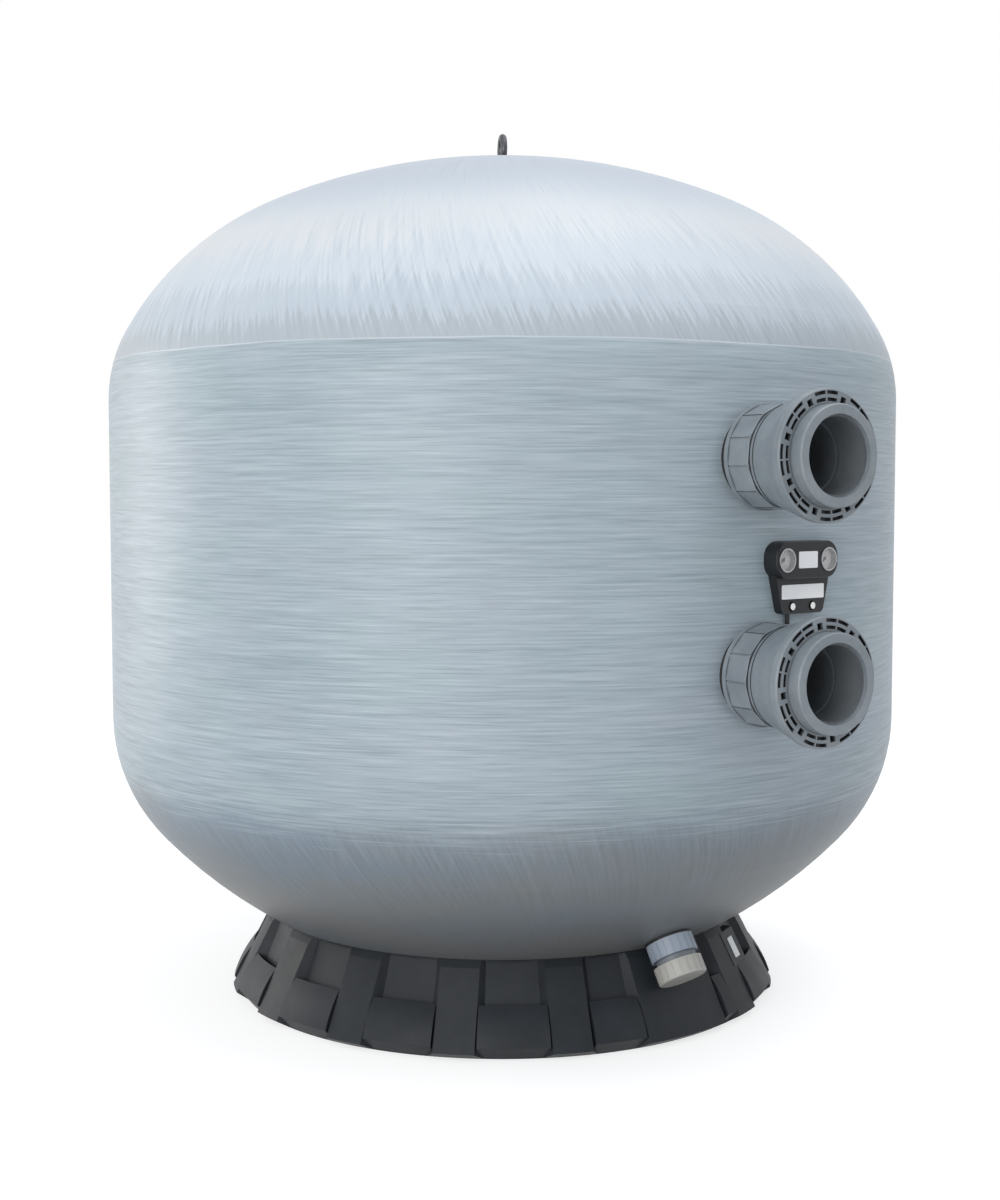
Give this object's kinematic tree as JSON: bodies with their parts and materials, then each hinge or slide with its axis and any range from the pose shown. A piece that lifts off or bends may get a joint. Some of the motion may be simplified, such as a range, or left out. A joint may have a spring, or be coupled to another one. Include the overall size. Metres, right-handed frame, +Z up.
{
  "type": "pool sand filter",
  "caption": "Side-mount pool sand filter: domed fibre-wound tank on a ribbed skirt, pipe unions, gauge panel, drain and bolted manhole.",
  "frame": {"origin": "on the tank's axis, at floor level under the skirt", "axes": "+Z up along the tank's axis; -Y out along the two pipe unions; +X to the right of someone facing the unions"},
  "size_m": [1.386, 1.653, 1.528],
  "materials": {
    "wound_shell": "satin",
    "skirt_plastic": "matte",
    "union_plastic": "satin",
    "panel_plastic": "satin",
    "nut_plastic": "satin",
    "cap_plastic": "satin",
    "pipe_plastic": "satin",
    "lid_plastic": "satin",
    "seal_rubber": "matte",
    "blank_label": "satin",
    "dial_face": "satin",
    "needle_paint": "satin",
    "gauge_glass": "clear",
    "gauge_steel": "satin",
    "tap_metal": "satin",
    "eye_steel": "satin",
    "bolt_steel": "satin",
    "insert_brass": "plain",
    "tube_plastic": "satin"
  },
  "bodies": {
    "tank": {"tank_shell": "wound_shell", "base_skirt": "skirt_plastic", "skirt_label": "blank_label", "lifting_insert": "insert_brass", "lifting_eye": "eye_steel", "gauge_panel": "panel_plastic", "upper_label": "blank_label", "lower_label": "blank_label", "air_tap_body": "tap_metal", "water_tap_body": "tap_metal", "tap_nuts": "tap_metal", "tap_spout": "panel_plastic", "air_tube": "tube_plastic", "drain_nozzle": "union_plastic", "drain_inner_gasket": "seal_rubber", "drain_outer_gasket": "seal_rubber", "drain_nut": "nut_plastic", "manhole_gasket": "seal_rubber", "manhole_lid": "lid_plastic", "manhole_bolts": "bolt_steel", "manhole_washers": "bolt_steel", "manhole_nuts": "bolt_steel", "inlet_pipe": "pipe_plastic", "outlet_pipe": "pipe_plastic", "diffuser": "pipe_plastic", "collector_hub": "pipe_plastic", "laterals": "pipe_plastic", "inlet_nozzle": "union_plastic", "inlet_inner_gasket": "seal_rubber", "inlet_outer_gasket": "seal_rubber", "inlet_bulkhead_nut": "union_plastic", "inlet_union_seat": "union_plastic", "inlet_seal_ring": "seal_rubber", "inlet_pipe_socket": "union_plastic", "inlet_gauge_case": "gauge_steel", "inlet_gauge_dial": "dial_face", "inlet_gauge_lens": "gauge_glass", "outlet_nozzle": "union_plastic", "outlet_inner_gasket": "seal_rubber", "outlet_outer_gasket": "seal_rubber", "outlet_bulkhead_nut": "union_plastic", "outlet_union_seat": "union_plastic", "outlet_seal_ring": "seal_rubber", "outlet_pipe_socket": "union_plastic", "outlet_gauge_case": "gauge_steel", "outlet_gauge_dial": "dial_face", "outlet_gauge_lens": "gauge_glass"},
    "inlet_union": {"inlet_union_nut": "union_plastic"},
    "outlet_union": {"outlet_union_nut": "union_plastic"},
    "cap": {"drain_cap": "cap_plastic", "drain_cap_seal": "seal_rubber"},
    "air_knob": {"air_tap_knob": "tap_metal"},
    "water_knob": {"water_tap_knob": "tap_metal"},
    "inlet_needle": {"inlet_gauge_needle": "needle_paint"},
    "outlet_needle": {"outlet_gauge_needle": "needle_paint"}
  },
  "joints": [
    {"name": "inlet_union_turn", "type": "hinge", "parent": "tank", "child": "inlet_union", "pos_m": [0, -0.8, 0.942], "axis": [0, -1, 0], "range_deg": [0, 720]},
    {"name": "outlet_union_turn", "type": "hinge", "parent": "tank", "child": "outlet_union", "pos_m": [0, -0.8, 0.622], "axis": [0, -1, 0], "range_deg": [0, 720]},
    {"name": "drain_cap_turn", "type": "hinge", "parent": "tank", "child": "cap", "pos_m": [0.02768, -0.45256, 0.16636], "axis": [0.0331, -0.5407, -0.8406], "range_deg": [0, 720]},
    {"name": "air_tap_turn", "type": "hinge", "parent": "tank", "child": "air_knob", "pos_m": [0.10458, -0.69752, 0.72], "axis": [0.1184, -0.993, 0], "range_deg": [0, 360]},
    {"name": "water_tap_turn", "type": "hinge", "parent": "tank", "child": "water_knob", "pos_m": [0.0594, -0.70291, 0.72], "axis": [0.1184, -0.993, 0], "range_deg": [0, 360]},
    {"name": "inlet_needle_turn", "type": "hinge", "parent": "tank", "child": "inlet_needle", "pos_m": [0.0374, -0.71057, 0.79], "axis": [-0.1184, 0.993, 0], "range_deg": [0, 270]},
    {"name": "outlet_needle_turn", "type": "hinge", "parent": "tank", "child": "outlet_needle", "pos_m": [0.13074, -0.69944, 0.79], "axis": [-0.1184, 0.993, 0], "range_deg": [0, 270]}
  ]
}
